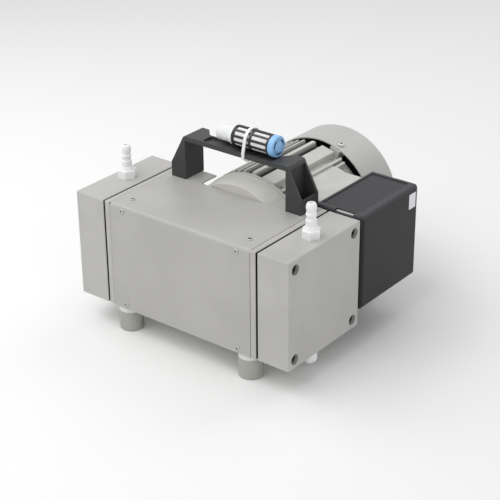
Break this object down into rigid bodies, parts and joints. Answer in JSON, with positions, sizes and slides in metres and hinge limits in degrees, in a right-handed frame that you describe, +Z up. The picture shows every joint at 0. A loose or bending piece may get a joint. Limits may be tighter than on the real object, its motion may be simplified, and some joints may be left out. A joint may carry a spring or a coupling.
{
  "type": "diaphragm vacuum pump",
  "caption": "Two-headed diaphragm vacuum pump with hose barbs, a finned fan-cooled motor, terminal box, carrying handle, exhaust silencer and rubber feet.",
  "frame": {"origin": "centre of the footprint on the plane the feet stand on", "axes": "+Z up, -Y the pump's front, +Y towards the fan cowl, +X the head beside the terminal box"},
  "size_m": [0.2668, 0.283, 0.2137],
  "materials": {
    "black_plastic": "fine-grained black plastic",
    "black_rubber": "black elastomer",
    "blue_plastic": "blue plastic",
    "cast_aluminium": "machined aluminium",
    "core_steel": "laminated electrical steel",
    "dark_steel": "black oxide steel",
    "grey_rubber": "grey rubber",
    "motor_paint": "satin grey paint on a die casting",
    "painted_metal_light": "satin light grey paint",
    "painted_metal_mid": "satin grey paint",
    "plated_steel": "zinc-plated steel",
    "shaft_steel": "ground steel",
    "white_felt": "white felt",
    "white_plastic": "translucent white fluoropolymer",
    "winding_copper": "varnished copper"
  },
  "bodies": {
    "pump_body": {"bearing_outer_rings": "shaft_steel", "cable_tie": "white_plastic", "connecting_tube": "white_plastic", "cover_screws": "plated_steel", "cowl_screws": "plated_steel", "crankcase": "painted_metal_mid", "diaphragm_left": "black_rubber", "diaphragm_right": "black_rubber", "elbow_left": "white_plastic", "elbow_right": "white_plastic", "end_plate_left": "painted_metal_mid", "end_plate_right": "painted_metal_mid", "fan_cowl": "motor_paint", "foot_spacers": "plated_steel", "front_cover": "painted_metal_light", "handle": "black_plastic", "handle_screws": "dark_steel", "head_block_left": "painted_metal_mid", "head_block_right": "painted_metal_mid", "head_insert_left": "white_plastic", "head_insert_right": "white_plastic", "head_screws": "dark_steel", "lid_clip": "plated_steel", "lid_screws": "plated_steel", "motor_flange": "motor_paint", "motor_frame": "motor_paint", "nozzle_left": "white_plastic", "nozzle_right": "white_plastic", "power_inlet": "black_plastic", "rear_shield": "motor_paint", "rubber_feet": "grey_rubber", "run_capacitor": "black_plastic", "silencer_cage": "black_plastic", "silencer_cap": "blue_plastic", "silencer_felt": "white_felt", "silencer_nipple": "white_plastic", "stator_core": "core_steel", "stator_windings": "winding_copper", "switch_housing": "black_plastic", "terminal_box": "black_plastic", "terminal_box_lid": "black_plastic"},
    "crankshaft": {"motor_shaft": "shaft_steel", "rotor_core": "core_steel", "eccentric": "shaft_steel", "counterweight": "shaft_steel", "cooling_fan": "black_plastic", "bearing_inner_rings": "shaft_steel"},
    "rod_right_body": {"rod_right": "cast_aluminium", "rod_bearing_right": "shaft_steel", "support_disc_right": "cast_aluminium", "clamping_disc_right": "white_plastic"},
    "rod_left_body": {"rod_left": "cast_aluminium", "rod_bearing_left": "shaft_steel", "support_disc_left": "cast_aluminium", "clamping_disc_left": "white_plastic"},
    "inlet_valve_right_body": {"inlet_valve_right": "black_rubber"},
    "outlet_valve_right_body": {"outlet_valve_right": "black_rubber"},
    "inlet_valve_left_body": {"inlet_valve_left": "black_rubber"},
    "outlet_valve_left_body": {"outlet_valve_left": "black_rubber"},
    "rocker_body": {"switch_rocker": "black_plastic"}
  },
  "joints": [
    {"name": "crank_spin", "type": "hinge", "parent": "pump_body", "child": "crankshaft", "pos_m": [0, -0.0835, 0.0855], "axis": [0, 1, 0], "continuous": true},
    {"name": "rod_right_orbit", "type": "hinge", "parent": "crankshaft", "child": "rod_right_body", "pos_m": [0.003, -0.0835, 0.0855], "axis": [0, 1, 0], "continuous": true, "deforming": ["diaphragm_right"]},
    {"name": "rod_left_orbit", "type": "hinge", "parent": "crankshaft", "child": "rod_left_body", "pos_m": [0.003, -0.0835, 0.0855], "axis": [0, 1, 0], "continuous": true, "deforming": ["diaphragm_left"]},
    {"name": "inlet_valve_right_lift", "type": "slide", "parent": "pump_body", "child": "inlet_valve_right_body", "axis": [-1, 0, 0], "range_m": [0, 0.0015]},
    {"name": "outlet_valve_right_lift", "type": "slide", "parent": "pump_body", "child": "outlet_valve_right_body", "axis": [1, 0, 0], "range_m": [0, 0.0015]},
    {"name": "inlet_valve_left_lift", "type": "slide", "parent": "pump_body", "child": "inlet_valve_left_body", "axis": [1, 0, 0], "range_m": [0, 0.0015]},
    {"name": "outlet_valve_left_lift", "type": "slide", "parent": "pump_body", "child": "outlet_valve_left_body", "axis": [-1, 0, 0], "range_m": [0, 0.0015]},
    {"name": "mains_switch", "type": "hinge", "parent": "pump_body", "child": "rocker_body", "pos_m": [0.111, 0.0771, 0.13], "axis": [0, 0, 1], "range_deg": [0, 16]}
  ],
  "couplings": [
    {"joint": "rod_right_orbit", "follows": "crank_spin", "ratio": -1},
    {"joint": "rod_left_orbit", "follows": "crank_spin", "ratio": -1}
  ]
}
